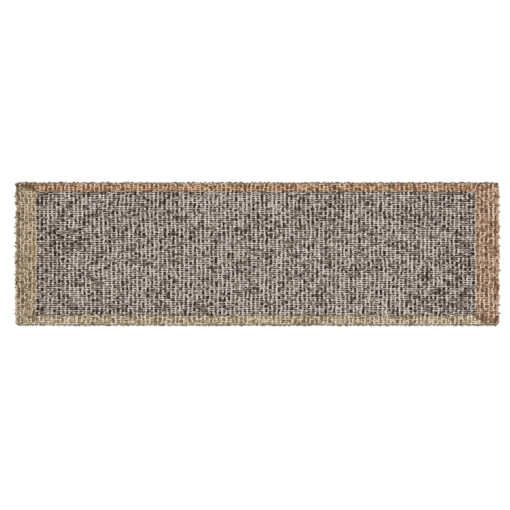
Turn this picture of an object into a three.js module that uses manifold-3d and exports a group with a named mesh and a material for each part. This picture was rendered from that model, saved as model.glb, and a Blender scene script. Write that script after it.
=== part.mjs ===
// Runner rug: loop pile tufted in rows across a cloth, with a mitred border in four colours and overcast edges.
// Millimetres, +Z up. +X runs along the rug to its right-hand end and +Y to its far long side.
// The origin is the middle of the underside, on the floor.
import * as THREE from "three";
import { mergeVertices } from "three/addons/utils/BufferGeometryUtils.js";
import Module from "manifold-3d";

const wasm = await Module();
wasm.setup();

// Overall size.
const LENGTH = 2286;
const WIDTH = 686;
const THICKNESS = 12;
const GAP = 0.3; // clearance between neighbouring pieces

// Heights of the layers above the floor.
const BACKING_TOP = 1.0;
const HEM_TOP = 1.8; // the latex layer fills the space inside the folded hem, up to the same height
const CLOTH_TOP = 2.6;
const STITCH_TOP = 3.4; // the stitches that join the feet of the high loops
const LOW_LOOP_TOP = 7.5;
const SIDE_EDGE_TOP = 8.5;
const END_EDGE_TOP = 10;

// Widths across the overcast edges, the hem and the border's four bands, measured from the rug's outline.
const SIDE_EDGE = 6;
const END_EDGE = 16;
const HEM = 30;
const BAND = { left: 107, right: 117, near: 54, far: 51 };

// Rows of loops. They run across the rug, and a low row lies beside each high one.
const FIELD_ROWS = 103;
const END_BAND_ROWS = 5;
const LOW_ROW = 8; // the width that a low row takes between two high ones
const LOW_LOOP = 5.6; // the yarn's own width
const HIGH_LOOP_TAPER = 2.2; // how far a high row narrows to its crown, on each side

const pile = {
  left: -LENGTH / 2 + END_EDGE + GAP,
  right: LENGTH / 2 - END_EDGE - GAP,
  near: -WIDTH / 2 + SIDE_EDGE + GAP,
  far: WIDTH / 2 - SIDE_EDGE - GAP,
};
const field = {
  left: -LENGTH / 2 + BAND.left,
  right: LENGTH / 2 - BAND.right,
  near: -WIDTH / 2 + BAND.near,
  far: WIDTH / 2 - BAND.far,
};

// ---- Materials ----

const yarn = (color) => new THREE.MeshStandardMaterial({ color, roughness: 0.95, metalness: 0 });

const materials = {
  backing: yarn(0xb9ab93),
  latex: new THREE.MeshStandardMaterial({ color: 0xd8cfb8, roughness: 0.7, metalness: 0 }),
  cloth: yarn(0x8d8272),
  field_high: yarn(0xcfc6bb),
  field_low: yarn(0x43372e),
  left_high: yarn(0xbfa88a),
  left_low: yarn(0x84704f),
  right_high: yarn(0xd0a98b),
  right_low: yarn(0x8a5f42),
  far_high: yarn(0xd09f76),
  far_low: yarn(0x8b5730),
  near_high: yarn(0xd2b78c),
  near_low: yarn(0x8c7448),
  side_serging: yarn(0x5b5038),
  left_serging: yarn(0xa08c6a),
  right_serging: yarn(0xb08a6c),
};

// ---- Solids and shapes ----

function toSolid(geometry) {
  const bare = geometry.clone();
  bare.deleteAttribute("normal");
  bare.deleteAttribute("uv");
  const merged = mergeVertices(bare, 1e-4);
  return new wasm.Manifold(
    new wasm.Mesh({
      numProp: 3,
      vertProperties: new Float32Array(merged.attributes.position.array),
      triVerts: new Uint32Array(merged.index.array),
    }),
  );
}

function toGeometry(solid) {
  const mesh = solid.getMesh();
  const geometry = new THREE.BufferGeometry();
  geometry.setAttribute("position", new THREE.BufferAttribute(mesh.vertProperties, 3));
  geometry.setIndex(new THREE.BufferAttribute(mesh.triVerts, 1));
  geometry.computeVertexNormals();
  return geometry;
}

const shapeOf = (points) => new THREE.Shape(points.map(([x, y]) => new THREE.Vector2(x, y)));

// An outline in plan, given a height.
function slab(outline, bottom, top) {
  const geometry = new THREE.ExtrudeGeometry(shapeOf(outline), { depth: top - bottom, bevelEnabled: false });
  return geometry.translate(0, 0, bottom);
}

// Sections drawn in X and Z, drawn out along Y.
function acrossRug(sections, from, to) {
  const geometry = new THREE.ExtrudeGeometry(sections.map(shapeOf), { depth: to - from, bevelEnabled: false });
  return geometry.rotateX(Math.PI / 2).translate(0, to, 0);
}

// A section drawn in Y and Z, drawn out along X.
function alongRug(section, from, to) {
  const geometry = new THREE.ExtrudeGeometry(shapeOf(section), { depth: to - from, bevelEnabled: false });
  return geometry.rotateX(Math.PI / 2).rotateZ(Math.PI / 2).translate(from, 0, 0);
}

const rectangle = (halfX, halfY) => [
  [-halfX, -halfY],
  [halfX, -halfY],
  [halfX, halfY],
  [-halfX, halfY],
];

// A convex outline, counter-clockwise, with each side moved inwards. ends is for the sides where the rows
// end, and sides for those that run along a row.
function inset(outline, ends, sides = ends) {
  const moved = outline.map(([x0, y0], i) => {
    const [x1, y1] = outline[(i + 1) % outline.length];
    const length = Math.hypot(x1 - x0, y1 - y0);
    const normal = [-(y1 - y0) / length, (x1 - x0) / length];
    const distance = x0 === x1 ? sides : ends;
    return { normal, reach: normal[0] * x0 + normal[1] * y0 + distance };
  });
  return moved.map((side, i) => {
    const before = moved[(i + moved.length - 1) % moved.length];
    const [a, b] = before.normal;
    const [c, d] = side.normal;
    const cross = a * d - b * c;
    return [(before.reach * d - side.reach * b) / cross, (side.reach * a - before.reach * c) / cross];
  });
}

// Where a line across the rug at x enters and leaves a convex outline.
function spanAt(outline, x) {
  const crossings = outline.flatMap(([x0, y0], i) => {
    const [x1, y1] = outline[(i + 1) % outline.length];
    const crosses = (x0 - x) * (x1 - x) < 0;
    return crosses ? [y0 + ((x - x0) / (x1 - x0)) * (y1 - y0)] : [];
  });
  return crossings.length === 2 ? crossings.sort((a, b) => a - b) : null;
}

// ---- Rows of loops ----

const fieldPitch = (field.right - field.left - LOW_ROW) / FIELD_ROWS;
const leftPitch = (field.left - pile.left) / END_BAND_ROWS;
const rightPitch = (pile.right - field.right) / END_BAND_ROWS;

// Each entry is a low row's middle and the width of the high row on its right.
const leftRows = Array.from({ length: END_BAND_ROWS }, (_, i) => [pile.left + i * leftPitch, leftPitch]);
const fieldRows = Array.from({ length: FIELD_ROWS }, (_, i) => [field.left + i * fieldPitch, fieldPitch]);
const rightRows = Array.from({ length: END_BAND_ROWS }, (_, i) => [field.right + i * rightPitch, rightPitch]);

const highRows = [
  ...[...leftRows, ...fieldRows].map(([x, pitch]) => ({ from: x + LOW_ROW, to: x + pitch })),
  ...rightRows.map(([x, pitch]) => ({ from: x, to: x + pitch - LOW_ROW })),
];
const lowRows = [
  ...[...leftRows, ...fieldRows].map(([x]) => x + LOW_ROW / 2),
  field.right - LOW_ROW / 2,
  ...rightRows.map(([x, pitch]) => x + pitch - LOW_ROW / 2),
];

const corner = (box, side, end) => [box[side], box[end]];

const zones = {
  field: [
    corner(field, "left", "near"),
    corner(field, "right", "near"),
    corner(field, "right", "far"),
    corner(field, "left", "far"),
  ],
  left_border: [
    corner(pile, "left", "near"),
    corner(field, "left", "near"),
    corner(field, "left", "far"),
    corner(pile, "left", "far"),
  ],
  right_border: [
    corner(field, "right", "near"),
    corner(pile, "right", "near"),
    corner(pile, "right", "far"),
    corner(field, "right", "far"),
  ],
  far_border: [
    corner(field, "left", "far"),
    corner(field, "right", "far"),
    corner(pile, "right", "far"),
    corner(pile, "left", "far"),
  ],
  near_border: [
    corner(pile, "left", "near"),
    corner(pile, "right", "near"),
    corner(field, "right", "near"),
    corner(field, "left", "near"),
  ],
};

// Every high row at its full length, before it is divided among the zones.
function allHighRows() {
  const sections = highRows.map(({ from, to }) => [
    [from + GAP, CLOTH_TOP],
    [to - GAP, CLOTH_TOP],
    [to - HIGH_LOOP_TAPER, THICKNESS],
    [from + HIGH_LOOP_TAPER, THICKNESS],
  ]);
  return toSolid(acrossRug(sections, pile.near, pile.far));
}

// The way that a zone's low yarn takes: along one low row, round the end of the high row, and back along
// the next low row.
function lowYarnRoute(outline) {
  const guide = inset(outline, LOW_LOOP / 2 + GAP, 0);
  const spans = lowRows.map((x) => [x, spanAt(guide, x)]);
  const used = spans.filter(([, span]) => span && span[1] - span[0] > 2 * LOW_LOOP);
  return used.flatMap(([x, [near, far]], i) => (i % 2 ? [[x, far], [x, near]] : [[x, near], [x, far]]));
}

const along = (route, width, bottom, top) => toSolid(slab(ribbon(route, width), bottom, top));
const within = (outline, bottom, top) => toSolid(slab(inset(outline, GAP / 2), bottom, top));

// The high loops of one zone: its rows, standing on their layer of stitches and clear of the low yarn.
function highLoops(outline, rows) {
  const roomToTurn = LOW_LOOP + 2 * GAP;
  const room = toSolid(slab(inset(outline, roomToTurn, GAP / 2), CLOTH_TOP, THICKNESS));
  const clearance = along(lowYarnRoute(outline), roomToTurn, STITCH_TOP, THICKNESS);
  const stitches = within(outline, CLOTH_TOP, STITCH_TOP);
  return toGeometry(stitches.add(rows.intersect(room).subtract(clearance)));
}

// The low loops of one zone: a single yarn.
function lowLoops(outline) {
  const yarnRun = along(lowYarnRoute(outline), LOW_LOOP, STITCH_TOP + GAP, LOW_LOOP_TOP);
  return toGeometry(yarnRun.intersect(within(outline, STITCH_TOP, LOW_LOOP_TOP)));
}

// The outline of a strip of constant width along a route with sharp corners.
function ribbon(route, width) {
  const direction = (a, b) => {
    const length = Math.hypot(b[0] - a[0], b[1] - a[1]);
    return [(b[0] - a[0]) / length, (b[1] - a[1]) / length];
  };
  const offsets = route.map((point, i) => {
    const into = direction(route[Math.max(i - 1, 0)], route[Math.max(i, 1)]);
    const out = direction(route[Math.min(i, route.length - 2)], route[Math.min(i + 1, route.length - 1)]);
    const sum = [into[0] + out[0], into[1] + out[1]];
    const stretch = width / (1 + into[0] * out[0] + into[1] * out[1]) / 2;
    return [-sum[1] * stretch, sum[0] * stretch];
  });
  const side = (sign) => route.map(([x, y], i) => [x + sign * offsets[i][0], y + sign * offsets[i][1]]);
  return [...side(-1), ...side(1).reverse()];
}

// ---- Layers under the pile ----

const clothHalfX = LENGTH / 2 - END_EDGE / 2 - GAP;
const clothHalfY = WIDTH / 2 - SIDE_EDGE / 2 - GAP;

const backingCloth = () =>
  slab(rectangle(LENGTH / 2 - END_EDGE - GAP, WIDTH / 2 - SIDE_EDGE - GAP), 0, BACKING_TOP);

// The cloth that the loops are tufted through, with its edges folded under as a hem.
function primaryCloth() {
  const whole = toSolid(slab(rectangle(clothHalfX, clothHalfY), BACKING_TOP, CLOTH_TOP));
  const insideHem = rectangle(clothHalfX - HEM, clothHalfY - HEM);
  return toGeometry(whole.subtract(toSolid(slab(insideHem, BACKING_TOP - 1, HEM_TOP))));
}

const latexLayer = () =>
  slab(rectangle(clothHalfX - HEM - GAP, clothHalfY - HEM - GAP), BACKING_TOP, HEM_TOP);

// ---- Overcast edges ----

// Half round outside, with a slot for the hem. Drawn with the outside at 0 and the rug on the positive side.
function sergingSection(width, top) {
  const wall = width / 2;
  const chamfer = Math.min(width, top) / 3;
  return [
    [chamfer / 2, 0],
    [width, 0],
    [width, BACKING_TOP - GAP],
    [wall, BACKING_TOP - GAP],
    [wall, CLOTH_TOP + GAP],
    [width, CLOTH_TOP + GAP],
    [width, top - chamfer / 2],
    [width - chamfer / 2, top],
    [chamfer, top],
    [0, top - chamfer],
    [0, chamfer / 2],
  ];
}

function sideSerging(side) {
  const section = sergingSection(SIDE_EDGE, SIDE_EDGE_TOP).map(([u, z]) => [side * (WIDTH / 2 - u), z]);
  return alongRug(side > 0 ? section.reverse() : section, -LENGTH / 2, LENGTH / 2);
}

function endSerging(side) {
  const section = sergingSection(END_EDGE, END_EDGE_TOP).map(([u, z]) => [side * (LENGTH / 2 - u), z]);
  return acrossRug([side > 0 ? section.reverse() : section], pile.near, pile.far);
}

// ---- The rug ----

const rug = new THREE.Group();

function addPiece(name, geometry, material) {
  const mesh = new THREE.Mesh(geometry, materials[material]);
  mesh.name = name;
  rug.add(mesh);
}

addPiece("backing_cloth", backingCloth(), "backing");
addPiece("latex_layer", latexLayer(), "latex");
addPiece("primary_cloth", primaryCloth(), "cloth");

const rows = allHighRows();
for (const [zone, outline] of Object.entries(zones)) {
  const colour = zone.replace("_border", "");
  addPiece(`${zone}_high_loops`, highLoops(outline, rows), `${colour}_high`);
  addPiece(`${zone}_low_loops`, lowLoops(outline), `${colour}_low`);
}

addPiece("far_edge_serging", sideSerging(1), "side_serging");
addPiece("near_edge_serging", sideSerging(-1), "side_serging");
addPiece("left_end_serging", endSerging(-1), "left_serging");
addPiece("right_end_serging", endSerging(1), "right_serging");

export default rug;
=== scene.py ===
"""Looks of the runner rug: every row of loops, float and overcast stitch as yarn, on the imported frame.

Metres, +Z up. +X runs along the rug to its right-hand end and +Y to its far long side.
"""

import math

import bpy
import numpy as np
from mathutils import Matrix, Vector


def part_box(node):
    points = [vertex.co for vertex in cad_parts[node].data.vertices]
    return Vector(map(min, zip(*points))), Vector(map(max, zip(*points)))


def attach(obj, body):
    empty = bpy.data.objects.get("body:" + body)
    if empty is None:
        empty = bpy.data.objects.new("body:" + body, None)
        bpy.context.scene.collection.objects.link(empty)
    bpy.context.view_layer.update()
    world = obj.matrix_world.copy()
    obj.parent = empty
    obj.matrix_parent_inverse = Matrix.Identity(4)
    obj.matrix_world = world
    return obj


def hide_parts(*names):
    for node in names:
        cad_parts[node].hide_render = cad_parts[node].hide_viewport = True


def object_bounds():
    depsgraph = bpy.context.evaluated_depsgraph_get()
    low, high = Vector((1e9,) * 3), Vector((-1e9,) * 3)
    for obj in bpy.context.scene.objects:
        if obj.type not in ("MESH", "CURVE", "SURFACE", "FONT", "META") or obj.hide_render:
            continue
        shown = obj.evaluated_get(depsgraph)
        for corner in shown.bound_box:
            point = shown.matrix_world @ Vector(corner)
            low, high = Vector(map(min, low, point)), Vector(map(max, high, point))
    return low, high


SEED = 7
MM = 0.001

# Rows of loops, as in the CAD. They run across the rug, and a low row lies beside each high one.
FIELD_ROWS = 103
END_BAND_ROWS = 5
LOW_ROW = 8 * MM
LOW_HALF_WIDTH = 0.92 * LOW_ROW  # the low yarn spreads under the high rows beside it
LOOP = 10.2 * MM  # along a row. The low rows' loops are half a loop off those of the high rows
SHORTEST_ROW = 0.8 * LOOP  # a zone's part of a row, if shorter, is left to the next zone
ZONES = ("field", "left_border", "right_border", "far_border", "near_border")
FIELD_PARTS = {"high": 7, "low": 4, "floats": 3}  # the field's yarn is shared among several objects

# Where the colours change. Two of the mitres miss their corner.
JOINT_SHIFT = 1.8 * MM  # how far a row's change of colour may be off the joint between two zones
FAR_MITRE = 0.43  # of the far band's width, where its left-hand mitre meets the end
NEAR_MITRE = 0.4  # of the right-hand band's width, where its near mitre meets the long side

# Neighbouring rows bend together, and so do the lines of loops across them: the distance between two
# independent bends along X and along Y, and how far they reach. They die out towards the ends.
ROW_DRIFT = (170 * MM, 90 * MM, 2.6 * MM)
LOOP_DRIFT = (140 * MM, 120 * MM, 2.2 * MM)
DRIFT_FADE = 60 * MM

# How the loops vary. Heights and widths are shares of a whole loop's.
LOOP_HEIGHTS = (0.74, 1)
LOOP_WIDTHS = (0.6, 1.02)
LOOP_GRID_SHIFT = 0.09 * LOOP  # along the row
ROW_STRAY = 0.7 * MM  # sideways, slowly along the row
LOOP_STRAY = 1.9 * MM  # sideways, each loop by itself
DIPS = {"high": 0.34, "low": 0.5}  # the height between two loops
DIP_SPREAD = 0.14
LOWEST_DIP, HIGHEST_DIP = 0.2, 0.9
NARROWEST = 0.46  # the width between two loops
ROW_END_DARKENING = 0.4  # at most, of the first and the last loop
ROW_END_LENGTH, ROW_END_SIZE = 0.35 * LOOP, 0.25  # a row's yarn goes down into the cloth at both ends
FLOAT_SHARES = {"field": 0.74, "border": 0.42}  # of the places where a float could cross a low row
FLOAT_RADII = (1.1 * MM, 2.5 * MM)
FLOAT_RISE = 1.8 * MM  # of its middle over its height at the two high rows
FLOAT_SINK = 2.5 * MM  # at most, below the top of the pile
FLOAT_BOW = 1.2 * MM
FLOAT_SLANT = 1.6 * MM
FLOAT_OVERLAP = 0.12  # past the middle of each high row, as a share of the pitch

# Tones of yarn, from 0 for the dark end of a palette to 1: (mean, spread) or (from, to).
HIGH_TONES = (0.57, 0.29)
SLUB_SHARE, SLUB_TONES = 0.1, (-0.25, 0.25)
LOW_TONES = (0.2, 0.25)
PALE_SHARE, PALE_TONES = 0.12, (0.75, 1.05)
FLOAT_TONES = (0.46, 0.24)

# What the material adds to a tone: slow changes of dye, one ply apart from the others, and fibres. The
# grooves between plies are this much darker, as painted shade.
DYE_REACH = 0.96
PLY_REACH = 0.07
FIBRE_REACH = 0.7
PAINTED_GROOVE_SHADE = 0.42

# Slow changes of the dye: how much darker, and over what distance it fades out.
RUST_DEPTH, RUST_LENGTH = 1.1, 22 * MM
FIELD_END_DEPTH, FIELD_END_LENGTH = 0.26, 200 * MM
CORNER_DEPTH, CORNER_LENGTH = 0.3, 25 * MM

# Yarn: the points round a loop, the steps along it, and the twist of its plies.
LOOP_SECTION = 11
SECTION_TURN = math.radians(112)  # a loop's section goes this far down each side from its top
LOOP_STEPS = {"high": 9, "low": 6}
TUBE_SECTION = 9
TUBE_END = 0.3  # the thickness of its tips
ASKEW = (0.31, 0.17, 0.93)  # a direction that no yarn runs in
FLOAT_SECTION = 7
FLOAT_POINTS = 9
PLIES = 3
PLY_DEPTH = 0.09
CELL_MARGIN = 0.03  # round a tube in the bake map, as a share of its cell
YARN_TURN = 26 * MM  # along the yarn, for a whole turn of the plies

# How far the stitches draw the rug in: the pile and both cloths along the long sides, and the primary
# cloth at the ends.
DRAWN_IN = 3.4 * MM
CLOTH_DRAWN_IN = 6.5 * MM
END_DRAWN_IN = 5 * MM
HEM_GAP = 0.15 * MM  # between the latex and the hem round it
CLOTH_RIPPLE = 0.1 * MM
LATEX_RIPPLE = 0.05 * MM

# Overcast edges.
CORNER_RADIUS = 14 * MM
STITCH_SLANT = 0.8  # how far a stitch runs along the edge, as a share of the distance to the next
SIDE_STITCHES = 3  # for each high row
SIDE_STITCH_RADII = (2.4 * MM, 3.2 * MM)
SIDE_STITCH_HEIGHTS = (0.75, 1)  # as a share of the rug's thickness
SIDE_STITCH_REACH = 8 * MM  # inwards, over the pile
SIDE_STITCH_INSET, SIDE_STITCH_SPREAD = 4 * MM, 0.8 * MM  # inwards from the edge's outline
RIB_BULGE = 1.3 * MM  # of the side stitches, out at a high row and in beside it
RIB_SHADE = 0.2  # how much darker the stitches at a high row are
SIDE_TONE_SPREAD = 0.2
FAR_EDGE = {"mean_tone": 0.45, "recess": -2 * MM, "reach": 7.5 * MM}  # the looser of the two
NEAR_EDGE = {"mean_tone": 0.6, "recess": 0.6 * MM, "reach": 4.5 * MM}

# The dark yarn along a long edge.
ARC_LENGTHS, ARC_SHARES = (11 * MM, 19 * MM, 36 * MM), (0.35, 0.45, 0.2)
ARC_STRETCH = (0.8, 1.1)
ARC_CLEARANCE = 12 * MM  # none starts nearer than this to the rounded corner
ARC_GAPS = (-2 * MM, 7 * MM)  # between two of them. A negative one overlaps
ARC_HEIGHTS = (4.5 * MM, 6.5 * MM)  # over the floor, where one bulges out most
ARC_TUCK = 2.5 * MM  # inwards at both ends, among the stitches
ARC_RADII = (1.5 * MM, 2.3 * MM)
ARC_TONES = (0.12, 0.15)

# The ends' stitches, and the tails where a length of yarn was tied off.
END_STITCH = 10.2 * MM
END_STITCH_RADII = (3 * MM, 4.2 * MM)
END_STITCH_INSETS = (1.5 * MM, 8 * MM)
END_STITCH_TONES = (0.55, 0.3)
TAIL_GAPS = (2, 7)  # 2 to 6 stitches without a tail come between two tails
TAIL_RADII = (1.6 * MM, 2.4 * MM)
TAIL_TONES = (-0.2, 0.3)

# The studio. The camera looks straight down on a picture that is PICTURE_WIDTH rug lengths wide.
WORLD_LIGHT = 0.62
KEY_LIGHT = 1.95
CAMERA_HEIGHT = 9.0
PICTURE_WIDTH = 1.0515
PICTURE_MIDDLE = (-0.0041, -0.002)  # in rug lengths from the rug's own middle
SENSOR = 36.0

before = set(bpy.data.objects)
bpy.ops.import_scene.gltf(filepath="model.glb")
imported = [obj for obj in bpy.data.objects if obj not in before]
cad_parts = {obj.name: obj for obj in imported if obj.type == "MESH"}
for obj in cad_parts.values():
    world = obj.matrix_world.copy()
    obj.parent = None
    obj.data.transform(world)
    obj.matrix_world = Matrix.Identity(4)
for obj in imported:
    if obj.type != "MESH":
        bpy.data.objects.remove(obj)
cad_low, cad_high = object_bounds()
rng = np.random.default_rng(SEED)


# ---- Layout, from the frame ----


def node_box(name):
    low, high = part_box(name)
    return np.array(low), np.array(high)


field_low, field_high = node_box("field_high_loops")
pile_low = np.minimum(node_box("left_border_high_loops")[0], node_box("near_border_high_loops")[0])
pile_high = np.maximum(node_box("right_border_high_loops")[1], node_box("far_border_high_loops")[1])
pile_low[1] += DRAWN_IN
pile_high[1] -= DRAWN_IN

CLOTH_TOP = field_low[2]
PILE_TOP = field_high[2]
LOW_LOOP_TOP = node_box("field_low_loops")[1][2]


def row_layout():
    """The middle and half width of every high row, and of every low row.

    Each pitch has a low row and then a high one, from the left up to the right-hand band. There they swap.
    """
    field_pitch = (field_high[0] - field_low[0] - LOW_ROW) / FIELD_ROWS
    left_pitch = (field_low[0] - pile_low[0]) / END_BAND_ROWS
    right_pitch = (pile_high[0] - field_high[0]) / END_BAND_ROWS
    high, low = [], []
    for start, pitch, count in (
        (pile_low[0], left_pitch, END_BAND_ROWS),
        (field_low[0], field_pitch, FIELD_ROWS),
    ):
        for i in range(count):
            low.append(start + i * pitch + LOW_ROW / 2)
            high.append((start + i * pitch + (LOW_ROW + pitch) / 2, (pitch - LOW_ROW) / 2))
    low.append(field_high[0] - LOW_ROW / 2)
    for i in range(END_BAND_ROWS):
        start = field_high[0] + i * right_pitch
        high.append((start + (right_pitch - LOW_ROW) / 2, (right_pitch - LOW_ROW) / 2))
        low.append(start + right_pitch - LOW_ROW / 2)
    return high, [(x, LOW_HALF_WIDTH) for x in low]


def joints(x):
    """Where a row at x changes colour, near and far.

    The corners are mitred, and a stretch shorter than SHORTEST_ROW is left out.
    """
    from_left = (x - pile_low[0]) / (field_low[0] - pile_low[0])
    from_right = (pile_high[0] - x) / (pile_high[0] - field_high[0])
    near_share = min(1, from_left, (from_right - NEAR_MITRE) / (1 - NEAR_MITRE))
    far_share = min(1, max(from_left, FAR_MITRE), from_right)
    near_shift, far_shift = rng.normal(0, JOINT_SHIFT, 2)
    near = pile_low[1] + near_share * (field_low[1] - pile_low[1]) + near_shift
    far = pile_high[1] - far_share * (pile_high[1] - field_high[1]) + far_shift
    near = near if near - pile_low[1] > SHORTEST_ROW else pile_low[1]
    far = far if pile_high[1] - far > SHORTEST_ROW else pile_high[1]
    return near, far


def rows_of_zones(rows):
    """Divides every row among the zones. Each zone's list has (x, half width, near end, far end)."""
    zones = {zone: [] for zone in ZONES}
    for x, half in rows:
        near, far = joints(x)
        if x < field_low[0]:
            middle = "left_border"
        elif x > field_high[0]:
            middle = "right_border"
        else:
            middle = "field"
        spans = {
            "near_border": (pile_low[1], near),
            middle: (near, far),
            "far_border": (far, pile_high[1]),
        }
        for zone, (start, end) in spans.items():
            if end > start:
                zones[zone].append((x, half, start, end))
    return zones


# ---- Yarn as meshes ----


class YarnObject:
    """Collects tubes of yarn and makes them one mesh object.

    UV map OFBake gives each tube its own cell. UV map yarn is the distance along the yarn, in metres,
    and the angle round it.
    """

    def __init__(self, name):
        self.name = name
        self.tubes = []

    def add(self, rings, tone, along, angle):
        """rings is steps x section x 3. tone and along are per step, and angle per point of the section."""
        self.tubes.append((rings, tone, along, angle))

    def uv_cells(self):
        """A grid of cells in the shape of the tubes: how many it is wide, and how many high."""
        count = len(self.tubes)
        rings = self.tubes[0][0]
        length = np.linalg.norm(np.diff(rings.mean(1), axis=0), axis=1).sum()
        girth = np.linalg.norm(np.diff(rings[len(rings) // 2], axis=0), axis=1).sum()
        wide = max(1, round(math.sqrt(count * girth / length)))
        return wide, math.ceil(count / wide)

    def build(self, material, slot, *nodes):
        points, tones, faces, cells, yarn = [], [], [], [], []
        wide, tall = self.uv_cells()
        first = 0
        for index, (rings, tone, along, angle) in enumerate(self.tubes):
            steps, section = rings.shape[:2]
            points.append(rings.reshape(-1, 3))
            tones.append(np.repeat(tone, section))
            step, around = np.meshgrid(np.arange(steps - 1), np.arange(section), indexing="ij")
            steps_of = np.stack([step, step, step + 1, step + 1], -1)
            around_of = np.stack([around, around + 1, around + 1, around], -1)
            faces.append((steps_of * section + around_of % section).reshape(-1, 4) + first)
            whole_angle = np.append(angle, angle[0] + 2 * math.pi)
            yarn.append(np.stack([along[steps_of], whole_angle[around_of]], -1).reshape(-1, 2))
            inner = np.stack([steps_of / (steps - 1), around_of / section], -1).reshape(-1, 2)
            inner = inner * (1 - 2 * CELL_MARGIN) + CELL_MARGIN
            cells.append((inner + [index % wide, index // wide]) / [wide, tall])
            first += steps * section

        mesh = bpy.data.meshes.new(self.name)
        mesh.from_pydata(np.concatenate(points), [], np.concatenate(faces))
        mesh.polygons.foreach_set("use_smooth", np.ones(len(mesh.polygons), bool))
        for layer, values in (("yarn", yarn), ("OFBake", cells)):
            uv = mesh.uv_layers.new(name=layer)
            uv.data.foreach_set("uv", np.concatenate(values).astype(np.float32).reshape(-1))
        attribute = mesh.attributes.new("tone", "FLOAT", "POINT")
        attribute.data.foreach_set("value", np.concatenate(tones).astype(np.float32))
        mesh.materials.append(material)
        return place(bpy.data.objects.new(self.name, mesh), slot, *nodes)


def place(piece, slot, *nodes):
    """Adds an object to the scene and hides the frame's nodes that it stands for. Nothing moves, so all
    ride on root.
    """
    bpy.context.scene.collection.objects.link(piece)
    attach(piece, "root")
    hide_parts(*nodes)
    return piece


def smooth_noise(count, spacing, amount):
    """A wandering value for each of count places, with a new random knot every spacing places."""
    knots = rng.normal(0, amount, count // spacing + 3)
    return np.interp(np.arange(count) / spacing, np.arange(len(knots)), knots)


def swell(angle, along):
    """How far the plies stand out, from -1 in a groove to 1, at each distance along and angle round."""
    return np.cos(PLIES * (angle[None, :] - 2 * math.pi * along[:, None] / YARN_TURN))


def slow_change(spacing_x, spacing_y, amount):
    """A random change that varies slowly over the rug, as a function of one x and many y."""
    x_knots = np.arange(cad_low[0] - spacing_x, cad_high[0] + 2 * spacing_x, spacing_x)
    y_knots = np.arange(cad_low[1] - spacing_y, cad_high[1] + 2 * spacing_y, spacing_y)
    values = rng.normal(0, amount, (len(y_knots), len(x_knots)))

    def at(x, y):
        at_knots = [np.interp(x, x_knots, line) for line in values]
        to_end = min(x - pile_low[0], pile_high[0] - x)
        return np.interp(y, y_knots, at_knots) * np.clip(to_end / DRIFT_FADE, 0, 1)

    return at


row_drift = slow_change(*ROW_DRIFT)
loop_drift = slow_change(*LOOP_DRIFT)


def loop_bounds(x, y_from, y_to, offset):
    """Where a row's loops meet. All rows share one grid, and each loop is a little off it."""
    first = pile_low[1] + offset * LOOP
    first_mark = math.ceil((y_from - first) / LOOP - 1)
    grid = first + LOOP * np.arange(first_mark, (y_to - first) / LOOP + 1)
    grid += loop_drift(x, grid) + rng.normal(0, LOOP_GRID_SHIFT, len(grid))
    inside = grid[(grid > y_from + 0.4 * LOOP) & (grid < y_to - 0.4 * LOOP)]
    return np.concatenate([[y_from], inside, [y_to]])


def loop_row(x, half_width, bounds, top, dip, tone, steps):
    """One row of loops: an undulating yarn that stands on the cloth and runs along Y.

    bounds is where its loops meet, dip the height there as a share of a loop's, and tone each loop's tone.
    """
    count = len(bounds) - 1
    stray = smooth_noise(count, 5, ROW_STRAY) + rng.normal(0, LOOP_STRAY, count)
    peak = (top - CLOTH_TOP) * rng.uniform(*LOOP_HEIGHTS, count)
    width = half_width * rng.uniform(*LOOP_WIDTHS, count)
    dips = np.clip(rng.normal(dip, DIP_SPREAD, count), LOWEST_DIP, HIGHEST_DIP)
    tone[[0, -1]] -= rng.uniform(0, ROW_END_DARKENING, 2)

    which = np.append(np.repeat(np.arange(count), steps), count - 1)
    phase = np.append(np.tile(np.arange(steps) / steps, count), 1.0)
    arch = (1 - np.abs(2 * phase - 1) ** 2.2) ** 0.5
    y = bounds[which] + phase * (bounds[which + 1] - bounds[which])
    to_end = np.minimum(y - bounds[0], bounds[-1] - y)
    ends = np.minimum(1, to_end / ROW_END_LENGTH + ROW_END_SIZE)
    height = peak[which] * (dips[which] + (1 - dips[which]) * arch) * ends**0.5
    half = width[which] * (NARROWEST + (1 - NARROWEST) * arch) * ends**0.4
    middle = x + row_drift(x, y) + np.interp(y, (bounds[:-1] + bounds[1:]) / 2, stray)

    angle = np.linspace(-1, 1, LOOP_SECTION) * SECTION_TURN
    along = y - y[0] + rng.uniform(0, YARN_TURN)
    radius = 1 + PLY_DEPTH * swell(angle, along)
    crown = np.minimum(half, height * 0.55)
    rings = np.empty((len(y), LOOP_SECTION, 3))
    rings[..., 0] = middle[:, None] + half[:, None] * np.sin(angle) * radius
    rings[..., 1] = y[:, None]
    rings[..., 2] = CLOTH_TOP + (height - crown)[:, None] + crown[:, None] * np.cos(angle) * radius
    rings[:, [0, -1], 2] = CLOTH_TOP
    return rings, tone[which], along, angle


def tube(path, radius, tone, section=TUBE_SECTION):
    """A yarn along a path of points, tapered at both ends."""
    tangent = np.gradient(path, axis=0)
    tangent /= np.linalg.norm(tangent, axis=1)[:, None]
    side = np.cross(tangent, ASKEW)
    side /= np.linalg.norm(side, axis=1)[:, None]
    up = np.cross(side, tangent)
    steps = np.linalg.norm(np.diff(path, axis=0), axis=1)
    along = np.append(0, np.cumsum(steps)) + rng.uniform(0, YARN_TURN)
    angle = np.arange(section) / section * 2 * math.pi
    taper = np.ones(len(path))
    taper[[0, -1]] = TUBE_END
    size = radius * taper[:, None] * (1 + PLY_DEPTH * swell(angle, along))
    across = np.cos(angle)[None, :, None] * side[:, None, :]
    spoke = across + np.sin(angle)[None, :, None] * up[:, None, :]
    rings = path[:, None, :] + size[..., None] * spoke
    return rings, np.full(len(path), tone), along, angle


# ---- Materials ----


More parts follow.
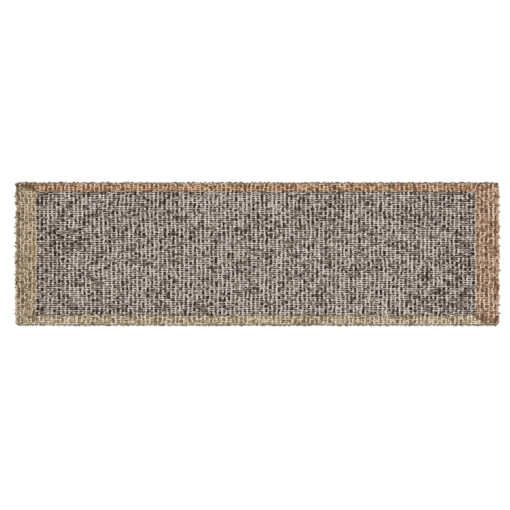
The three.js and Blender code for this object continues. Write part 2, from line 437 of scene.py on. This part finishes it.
def linear(colour):
    """A display colour, such as 0xFF8000, as the shader's linear colour."""
    values = np.array([colour >> 16, colour >> 8 & 0xFF, colour & 0xFF]) / 255
    curve = np.where(values <= 0.04045, values / 12.92, ((values + 0.055) / 1.055) ** 2.4)
    return (*curve, 1.0)


class Nodes:
    """A material's node tree, with short ways to add and link."""

    def __init__(self, name):
        self.material = bpy.data.materials.new(name)
        self.material.use_nodes = True
        self.tree = self.material.node_tree
        self.shader = self.tree.nodes["Principled BSDF"]

    def add(self, kind, **settings):
        node = self.tree.nodes.new(kind)
        for key, value in settings.items():
            setattr(node, key, value)
        return node

    def link(self, source, target):
        self.tree.links.new(source, target)

    def math(self, operation, *values):
        node = self.add("ShaderNodeMath", operation=operation)
        for socket, value in zip(node.inputs, values):
            if isinstance(value, (int, float)):
                socket.default_value = value
            else:
                self.link(value, socket)
        return node.outputs[0]

    def total(self, first, *others):
        for other in others:
            first = self.math("ADD", first, other)
        return first

    def around_zero(self, noise, reach):
        """A noise, which is near 0.5, made into a change of either sign."""
        return self.math("MULTIPLY", self.math("SUBTRACT", noise, 0.5), reach)

    def attribute(self, name):
        return self.add("ShaderNodeAttribute", attribute_name=name).outputs["Fac"]

    def position(self, axis):
        """The object's own X, Y or Z at a point of the surface."""
        split = self.add("ShaderNodeSeparateXYZ")
        self.link(self.add("ShaderNodeTexCoord").outputs["Object"], split.inputs["Vector"])
        return split.outputs[axis]

    def noise_at(self, vector, scale, detail):
        node = self.add("ShaderNodeTexNoise")
        node.inputs["Scale"].default_value = scale
        node.inputs["Detail"].default_value = detail
        self.link(vector, node.inputs["Vector"])
        return node.outputs["Fac"]

    def noise(self, scale, detail=2.0, stretch=(1, 1, 1)):
        mapping = self.add("ShaderNodeMapping")
        mapping.inputs["Scale"].default_value = stretch
        self.link(self.add("ShaderNodeTexCoord").outputs["Object"], mapping.inputs["Vector"])
        return self.noise_at(mapping.outputs["Vector"], scale, detail)

    def ramp(self, value, colours):
        """Colours spread evenly over values from 0 to 1."""
        node = self.add("ShaderNodeValToRGB")
        elements = node.color_ramp.elements
        while len(elements) < len(colours):
            elements.new(0.5)
        for i, colour in enumerate(colours):
            elements[i].position = i / (len(colours) - 1)
            elements[i].color = linear(colour)
        self.link(value, node.inputs["Fac"])
        return node.outputs["Color"]

    def darken(self, colour, amount):
        """Multiplies a colour by a grey value."""
        node = self.add("ShaderNodeMix", data_type="RGBA", blend_type="MULTIPLY")
        node.inputs["Factor"].default_value = 1.0
        self.link(colour, node.inputs["A"])
        self.link(amount, node.inputs["B"])
        return node.outputs["Result"]


def yarn_material(name, colours, dye_scale=14):
    """Wool: each loop's own tone, slow changes of dye, plies with painted shade in the grooves between
    them, and fibres.
    """
    nodes = Nodes(name)
    yarn = nodes.add("ShaderNodeUVMap", uv_map="yarn")
    parts = nodes.add("ShaderNodeSeparateXYZ")
    nodes.link(yarn.outputs["UV"], parts.inputs["Vector"])
    along, angle = parts.outputs["X"], parts.outputs["Y"]
    twist = nodes.math("SUBTRACT", angle, nodes.math("MULTIPLY", along, 2 * math.pi / YARN_TURN))
    ridge = nodes.math("COSINE", nodes.math("MULTIPLY", twist, PLIES))
    groove = nodes.math("POWER", nodes.math("MULTIPLY_ADD", ridge, -0.5, 0.5), 3)

    # Fibres lie along the plies, and the object's own place keeps them different from row to row.
    lie = nodes.add("ShaderNodeCombineXYZ")
    nodes.link(nodes.math("MULTIPLY", along, 260), lie.inputs["X"])
    nodes.link(nodes.math("MULTIPLY", twist, 7), lie.inputs["Y"])
    nodes.link(nodes.math("MULTIPLY", nodes.position("X"), 40), lie.inputs["Z"])
    fibres = nodes.noise_at(lie.outputs["Vector"], 1.0, 4.0)

    dye = nodes.around_zero(nodes.noise(dye_scale, 3.0), DYE_REACH)
    plies = nodes.math("MULTIPLY", nodes.math("COSINE", twist), PLY_REACH)
    streaks = nodes.around_zero(fibres, FIBRE_REACH)
    tone = nodes.total(nodes.attribute("tone"), dye, plies, streaks)
    # Painted shade: the grooves between the plies are darkened in the base colour.
    shade = nodes.math("SUBTRACT", 1.0, nodes.math("MULTIPLY", groove, PAINTED_GROOVE_SHADE))
    nodes.link(nodes.darken(nodes.ramp(tone, colours), shade), nodes.shader.inputs["Base Color"])

    nodes.link(nodes.math("MULTIPLY_ADD", fibres, 0.25, 0.72), nodes.shader.inputs["Roughness"])
    relief = nodes.total(
        nodes.math("MULTIPLY", fibres, 0.8),
        nodes.math("MULTIPLY", groove, -0.9),
        nodes.math("MULTIPLY", nodes.noise(700, 4.0), 0.7),
    )
    bump = nodes.add("ShaderNodeBump")
    bump.inputs["Strength"].default_value = 0.8
    bump.inputs["Distance"].default_value = 0.9 * MM
    nodes.link(relief, bump.inputs["Height"])
    nodes.link(bump.outputs["Normal"], nodes.shader.inputs["Normal"])
    nodes.shader.inputs["Sheen Weight"].default_value = 0.25
    nodes.shader.inputs["Sheen Roughness"].default_value = 0.5
    nodes.shader.inputs["Specular IOR Level"].default_value = 0.2
    return nodes.material


# Five display colours for each yarn, from its darkest tone to its lightest or oddest.
HIGH_COLOURS = {
    "field": (0x78685A, 0xBAAA9A, 0xDED1C4, 0xF0E6DC, 0xE0D4CC),
    "left_border": (0xA18C6D, 0xD1BA9E, 0xE5D1BA, 0xEBDBC3, 0xEDD1BC),
    "right_border": (0xA98160, 0xD4B091, 0xEBD0B8, 0xF4DFCA, 0xEBCEAE),
    "far_border": (0xA27C55, 0xDBAB86, 0xEECCA7, 0xF4DBC0, 0xEBB899),
    "near_border": (0xB19B78, 0xE0CAA9, 0xF1E1C9, 0xF5E9D7, 0xE7D3BB),
}
LOW_COLOURS = {
    "field": (0x261C14, 0x372A20, 0x4C3E32, 0x7C6A5A, 0xBCAC9C),
    "left_border": (0x776748, 0x9F8865, 0xB49B79, 0xC1AC8D, 0xCFBCA0),
    "right_border": (0x725037, 0x9D7456, 0xB48B69, 0xC79F81, 0xD4B498),
    "far_border": (0x6B4A2D, 0x906548, 0xAB805F, 0xC49978, 0xD8B194),
    "near_border": (0x81704F, 0xA89572, 0xC0AA8B, 0xCDBB9D, 0xDBCCB1),
}
EDGE_COLOURS = {
    "side": (0x4C4030, 0x6E5E4A, 0x96846C, 0xB6A48C, 0xCEBEA8),
    "left": (0x665840, 0x988666, 0xBEAE90, 0xD2C4A8, 0xDED0BA),
    "right": (0x644632, 0x936C50, 0xBC967A, 0xD0B094, 0xE0C8B0),
}


def cloth_material(name, dark, light, thread):
    """A plain weave of threads along X and Y."""
    nodes = Nodes(name)
    turns = math.pi / thread
    along = nodes.math("SINE", nodes.math("MULTIPLY", nodes.position("X"), turns))
    across = nodes.math("SINE", nodes.math("MULTIPLY", nodes.position("Y"), turns))
    weave = nodes.math("MULTIPLY_ADD", nodes.math("MULTIPLY", along, across), 0.5, 0.5)
    slubs = nodes.noise(60, 3.0, (1, 6, 1))
    value = nodes.total(nodes.math("MULTIPLY", weave, 0.6), nodes.math("MULTIPLY", slubs, 0.7))
    nodes.link(nodes.ramp(value, (dark, light)), nodes.shader.inputs["Base Color"])
    bump = nodes.add("ShaderNodeBump")
    bump.inputs["Strength"].default_value = 0.6
    bump.inputs["Distance"].default_value = 0.4 * MM
    nodes.link(weave, bump.inputs["Height"])
    nodes.link(bump.outputs["Normal"], nodes.shader.inputs["Normal"])
    nodes.link(nodes.math("MULTIPLY_ADD", slubs, 0.2, 0.75), nodes.shader.inputs["Roughness"])
    return nodes.material


# ---- The pile ----


def high_tones(count):
    """Mostly the light yarn's own range, with some darker slubs."""
    tones = rng.normal(*HIGH_TONES, count)
    slubs = rng.random(count) < SLUB_SHARE
    return np.where(slubs, rng.uniform(*SLUB_TONES, count), tones)


def low_tones(count):
    """Mostly dark, with some lighter loops."""
    tones = rng.normal(*LOW_TONES, count)
    pale = rng.random(count) < PALE_SHARE
    return np.where(pale, rng.uniform(*PALE_TONES, count), tones)


def slow_dye(zone, x, bounds):
    """How much darker than its zone a row is, loop by loop.

    The redder bands turn to rust beside their mitre with the olive ones. The field is darker at its ends.
    """
    if zone == "right_border" or (zone == "far_border" and x < field_low[0]):
        return RUST_DEPTH * np.exp(-((bounds[:-1] + bounds[1:]) / 2 - bounds[0]) / RUST_LENGTH)
    if zone == "field":
        return FIELD_END_DEPTH * math.exp(-min(x - field_low[0], field_high[0] - x) / FIELD_END_LENGTH)
    return 0


def yarn_objects(zone, kind):
    """Empty yarn objects for one kind of yarn in a zone: several for the field, and one for a band."""
    if zone == "field":
        return [YarnObject(f"field_{kind}_{i + 1}") for i in range(FIELD_PARTS[kind])]
    return [YarnObject(f"{zone}_{kind}_yarn")]


def floats_of_zone(zone, high_rows):
    """Light yarn that crosses from one high row to the next, over the low row between them.

    The field's also crosses the low rows between it and the bands at its two ends.
    """
    rows = high_rows[zone]
    chance = FLOAT_SHARES["border"]
    if zone == "field":
        rows = [high_rows["left_border"][-1], *rows, high_rows["right_border"][0]]
        chance = FLOAT_SHARES["field"]
    yarns = yarn_objects(zone, "floats")
    for i, ((x, _, near, far), (x_next, *_)) in enumerate(zip(rows, rows[1:])):
        yarn = yarns[i * len(yarns) // (len(rows) - 1)]
        bounds = loop_bounds(x, near, far, 0)
        places = (bounds[:-1] + bounds[1:]) / 2
        for y in places[rng.random(len(places)) < chance]:
            share = np.linspace(-FLOAT_OVERLAP, 1 + FLOAT_OVERLAP, FLOAT_POINTS)
            radius = rng.uniform(*FLOAT_RADII)
            lift = rng.uniform(-FLOAT_SINK, 0)
            bow = rng.normal(0, FLOAT_BOW) * (2 * share - 1) ** 2
            path = np.empty((len(share), 3))
            path[:, 0] = x + row_drift(x, y) + share * (x_next - x)
            path[:, 1] = y + rng.normal(0, FLOAT_SLANT) * (share - 0.5) + bow
            path[:, 2] = PILE_TOP + lift - radius * 1.2 - FLOAT_RISE * (2 * share - 1) ** 4
            yarn.add(*tube(path, radius, rng.normal(*FLOAT_TONES), FLOAT_SECTION))
    material = bpy.data.materials[f"{zone}_high_yarn"]
    slot = f"{zone.replace('_border', '')}_high"
    return [yarn.build(material, slot, f"{zone}_high_loops") for yarn in yarns]


def pile_of_zone(zone, level, rows):
    """The yarn objects of one zone's high or low loops."""
    is_high = level == "high"
    palette = (HIGH_COLOURS if is_high else LOW_COLOURS)[zone]
    node = f"{zone}_{level}_loops"
    slot = f"{zone.replace('_border', '')}_{level}"
    material = yarn_material(f"{zone}_{level}_yarn", palette)
    yarns = yarn_objects(zone, level)
    for i, (x, half, near, far) in enumerate(rows):
        bounds = loop_bounds(x, near, far, 0 if is_high else 0.5)
        tone = (high_tones if is_high else low_tones)(len(bounds) - 1) - slow_dye(zone, x, bounds)
        top = PILE_TOP if is_high else LOW_LOOP_TOP
        row = loop_row(x, half, bounds, top, DIPS[level], tone, LOOP_STEPS[level])
        yarns[i * len(yarns) // len(rows)].add(*row)
    return [yarn.build(material, slot, node) for yarn in yarns]


# ---- Overcast edges ----


def wrap_path(outside, inside, top, count=11):
    """A stitch round an edge in (inwards, up): over the top, round the outside and under.

    The part over the top sinks into the pile towards its inner end.
    """
    angle = np.linspace(0.5 * math.pi, 1.5 * math.pi, count - 4)
    half = top / 2
    curve = np.stack([outside + half + half * np.cos(angle), half + half * np.sin(angle)], 1)
    over = np.array([[inside, top * 0.66], [outside + 0.75 * (inside - outside), top * 0.98]])
    under = np.array([[outside + 0.8 * (inside - outside), 0.0], [inside, 0.0]])
    return np.concatenate([over, curve, under])


def overcast(name, node, slot, palette, stitches):
    """stitches is a list of (path, radius, tone)."""
    yarn = YarnObject(name)
    for path, radius, tone in stitches:
        yarn.add(*tube(path, radius, tone))
    return yarn.build(yarn_material(f"{name}_wool", palette, dye_scale=20), slot, node)


def corner_inset(to_end):
    """How far an edge stands back because the corner is rounded, at a distance from the edge's end."""
    turn = min(1, max(0, 1 - to_end / CORNER_RADIUS))
    return CORNER_RADIUS * (1 - math.sqrt(1 - turn**2))


def stitch(section, slant, outside, side, at, bottom, across_x):
    """A stitch's path. section is (inwards, up) from the outside, and slant its advance along the edge."""
    advance = at + np.linspace(0, slant, len(section))
    inwards = outside - side * section[:, 0]
    plan = (advance, inwards) if across_x else (inwards, advance)
    return np.stack([*plan, bottom + section[:, 1]], 1)


def edge_arcs(low, high, outside, side, recess, reach):
    """A dark yarn along a long edge, which bulges out over a rib or two and goes in among the stitches."""
    arcs = []
    at = low[0] + CORNER_RADIUS
    end = high[0] - CORNER_RADIUS
    while at < end - ARC_CLEARANCE:
        length = min(rng.choice(ARC_LENGTHS, p=ARC_SHARES) * rng.uniform(*ARC_STRETCH), end - at)
        thick = rng.uniform(*ARC_RADII)
        share = np.linspace(0, 1, 9)
        bulge = np.sin(math.pi * share) ** 0.7
        out = rng.uniform(0.1, 1) * reach * bulge
        inwards = thick + DRAWN_IN + recess + reach - out + ARC_TUCK * (1 - bulge)
        height = rng.uniform(*ARC_HEIGHTS) * (0.35 + 0.65 * bulge)
        path = np.stack([at + share * length, outside - side * inwards, low[2] + height], 1)
        arcs.append((path, thick, rng.normal(*ARC_TONES)))
        at += length + rng.uniform(*ARC_GAPS)
    return arcs


def side_edge(name, node, side, mean_tone, recess, reach):
    """A long edge: overcast stitches, which stand out at the end of every high row, and a dark yarn.

    recess is how far they stay inside the drawn-in outline, and reach how far the dark yarn bulges out.
    """
    low, high = node_box(node)
    outside = high[1] if side > 0 else low[1]
    pitch = (field_high[0] - field_low[0] - LOW_ROW) / FIELD_ROWS
    advance = pitch / SIDE_STITCHES
    first_crown = field_low[0] + (pitch + LOW_ROW) / 2
    start = low[0] + advance + (first_crown - low[0]) % advance
    stitches = []
    for at in np.arange(start, high[0] - advance, advance):
        crown = math.cos(2 * math.pi * (at - first_crown) / pitch)
        thick = rng.uniform(*SIDE_STITCH_RADII)
        inset = thick + DRAWN_IN + recess + SIDE_STITCH_INSET - RIB_BULGE * crown
        inset += abs(rng.normal(0, SIDE_STITCH_SPREAD))
        inset += corner_inset(min(at - low[0], high[0] - at) - 3 * MM)
        girth = thick * (1 + PLY_DEPTH)
        height = (high[2] - low[2] - 2 * girth) * rng.uniform(*SIDE_STITCH_HEIGHTS)
        section = wrap_path(inset, inset + SIDE_STITCH_REACH, height)
        slant = STITCH_SLANT * advance
        path = stitch(section, slant, outside, side, at - slant / 2, low[2] + girth, True)
        stitches.append((path, thick, rng.normal(mean_tone - RIB_SHADE * crown, SIDE_TONE_SPREAD)))
    stitches += edge_arcs(low, high, outside, side, recess, reach)
    return overcast(name, node, "side_serging", EDGE_COLOURS["side"], stitches)


def end_edge(name, node, side, slot, palette):
    """The end's overcast yarn, with a dark tail wherever a length of it was tied off.

    It is darker at one corner: the far one on the left, and the near one on the right.
    """
    low, high = node_box(node)
    outside = high[0] if side > 0 else low[0]
    stitches = []
    next_tail = 0
    first, last = low[1] + 2 * DRAWN_IN, high[1] - 2 * DRAWN_IN
    for at in np.arange(first, last - END_STITCH / 2, END_STITCH):
        thick = rng.uniform(*END_STITCH_RADII)
        to_side = min(at - low[1], high[1] - at - END_STITCH) - 2 * DRAWN_IN
        inset = thick + rng.uniform(*END_STITCH_INSETS) + corner_inset(to_side + 4 * MM)
        girth = thick * (1 + PLY_DEPTH)
        section = wrap_path(inset, high[0] - low[0], high[2] - low[2] - 2 * girth, 13)
        slant = STITCH_SLANT * END_STITCH
        start = at + (END_STITCH - slant) / 2
        path = stitch(section, slant, outside, side, start, low[2] + girth, False)
        to_corner = at - low[1] if side > 0 else high[1] - at
        tone = rng.normal(*END_STITCH_TONES) - CORNER_DEPTH * math.exp(-to_corner / CORNER_LENGTH)
        stitches.append((path, thick, tone))
        next_tail -= 1
        if next_tail < 0 and abs(at) < high[1] - 4 * END_STITCH:
            next_tail = rng.integers(*TAIL_GAPS)
            tail = tail_path(outside, side, at + END_STITCH, low[2])
            stitches.append((tail, rng.uniform(*TAIL_RADII), rng.uniform(*TAIL_TONES)))
    return overcast(name, node, slot, palette, stitches)


def tail_path(outside, side, at, bottom):
    """A short yarn end that sticks out of the overcasting and droops."""
    share = np.linspace(0, 1, 6)
    out = (-9 + rng.uniform(9, 14) * share) * MM
    turn = rng.normal(0, 2 * MM) * share
    return np.stack([outside + side * out, at + turn, bottom + (6.5 - 3 * share**2) * MM], 1)


# ---- Cloths under the pile ----


def grid_lines(low, high, walls):
    """Places every 12 mm or so from low to high, and two close together at each wall of a hollow."""
    even = np.linspace(low, high, round((high - low) / (12 * MM)))
    return np.unique(np.concatenate([even, *[[wall - 0.1 * MM, wall + 0.1 * MM] for wall in walls]]))


def cloth_slab(name, node, box, material, slot, ripple, hollow=None):
    """A closed sheet, slightly rippled on top. hollow, if given, is a box cut out of its underside."""
    low, high = box
    walls = np.array(hollow).T if hollow else np.zeros((2, 0))
    x, y = np.meshgrid(*(grid_lines(low[i], high[i], walls[i]) for i in (0, 1)), indexing="ij")
    floor = np.full(x.shape, low[2])
    if hollow:
        in_x = (x > hollow[0][0]) & (x < hollow[1][0])
        in_y = (y > hollow[0][1]) & (y < hollow[1][1])
        floor[in_x & in_y] = hollow[1][2]
    top = np.stack([x, y, high[2] + rng.uniform(-ripple, 0, x.shape)], -1).reshape(-1, 3)
    bottom = np.stack([x, y, floor], -1).reshape(-1, 3)

    along, across = x.shape
    i, j = np.meshgrid(np.arange(along - 1), np.arange(across - 1), indexing="ij")
    corner = i * across + j
    up = np.stack([corner, corner + across, corner + across + 1, corner + 1], -1).reshape(-1, 4)
    down = up[:, ::-1] + len(top)
    rim = np.concatenate([
        np.arange(along) * across,
        (along - 1) * across + np.arange(1, across),
        np.arange(along - 2, -1, -1) * across + across - 1,
        np.arange(across - 2, 0, -1),
    ])
    after = np.roll(rim, -1)
    wall = np.stack([rim + len(top), after + len(top), after, rim], -1)
    mesh = bpy.data.meshes.new(name)
    mesh.from_pydata(np.concatenate([top, bottom]), [], np.concatenate([up, down, wall]))
    mesh.materials.append(material)
    return place(bpy.data.objects.new(name, mesh), slot, node)


def cloths():
    """The three layers under the pile."""
    cotton = cloth_material("backing_cotton", 0x96866E, 0xCEC0A6, 1.6 * MM)
    canvas = cloth_material("primary_cotton", 0x4A3F34, 0x7E7060, 2.2 * MM)
    rubber = cloth_material("latex_coat", 0xC4B89C, 0xE2D8C2, 9 * MM)
    backing_box = node_box("backing_cloth")
    latex_box = node_box("latex_layer")
    primary_box = node_box("primary_cloth")

    backing_box[0][1] += CLOTH_DRAWN_IN
    backing_box[1][1] -= CLOTH_DRAWN_IN
    primary_box[0][:2] = primary_box[0][0] + END_DRAWN_IN, backing_box[0][1]
    primary_box[1][:2] = primary_box[1][0] - END_DRAWN_IN, backing_box[1][1]

    # The latex fills the space in the primary cloth's hem.
    hollow = (latex_box[0] - HEM_GAP, latex_box[1] + HEM_GAP)
    backing = cloth_slab("backing_sheet", "backing_cloth", backing_box, cotton, "backing", CLOTH_RIPPLE)
    latex = cloth_slab("latex_coat", "latex_layer", latex_box, rubber, "latex", LATEX_RIPPLE)
    primary = cloth_slab(
        "primary_sheet", "primary_cloth", primary_box, canvas, "cloth", CLOTH_RIPPLE, hollow
    )


# ---- The studio ----


def studio():
    scene = bpy.context.scene
    scene.view_settings.view_transform = "Standard"
    bpy.ops.mesh.primitive_plane_add(size=80, location=(0, 0, cad_low[2] - 0.2 * MM))
    floor = bpy.context.object
    floor.name = "floor"
    paint = Nodes("floor_paint")
    paint.link(paint.ramp(paint.noise(3, 2.0), (0xF8F8F7, 0xFCFCFB)), paint.shader.inputs["Base Color"])
    paint.shader.inputs["Roughness"].default_value = 0.9
    floor.data.materials.append(paint.material)

    world = bpy.data.worlds.new("studio")
    world.use_nodes = True
    world.node_tree.nodes["Background"].inputs["Color"].default_value = (1, 1, 1, 1)
    world.node_tree.nodes["Background"].inputs["Strength"].default_value = WORLD_LIGHT
    scene.world = world

    key = bpy.data.lights.new("key", "SUN")
    key.energy = KEY_LIGHT
    key.angle = math.radians(25)
    lamp = bpy.data.objects.new("key", key)
    lamp.rotation_euler = (math.radians(-28), math.radians(-30), 0)
    scene.collection.objects.link(lamp)


def camera():
    length = cad_high[0] - cad_low[0]
    data = bpy.data.cameras.new("camera")
    data.sensor_width = SENSOR
    data.lens = SENSOR * CAMERA_HEIGHT / (PICTURE_WIDTH * length)
    data.clip_end = 100
    eye = bpy.data.objects.new("camera", data)
    eye.location = (PICTURE_MIDDLE[0] * length, PICTURE_MIDDLE[1] * length, CAMERA_HEIGHT)
    bpy.context.scene.collection.objects.link(eye)
    bpy.context.scene.camera = eye


# ---- The rug ----


def rug():
    high_rows, low_rows = (rows_of_zones(rows) for rows in row_layout())
    yarns = []
    for zone in ZONES:
        yarns += pile_of_zone(zone, "high", high_rows[zone])
        yarns += floats_of_zone(zone, high_rows)
        yarns += pile_of_zone(zone, "low", low_rows[zone])

    yarns += [
        side_edge("far_edge_yarn", "far_edge_serging", 1, **FAR_EDGE),
        side_edge("near_edge_yarn", "near_edge_serging", -1, **NEAR_EDGE),
        end_edge("left_end_yarn", "left_end_serging", -1, "left_serging", EDGE_COLOURS["left"]),
        end_edge("right_end_yarn", "right_end_serging", 1, "right_serging", EDGE_COLOURS["right"]),
    ]

    cloths()


rug()
studio()
camera()
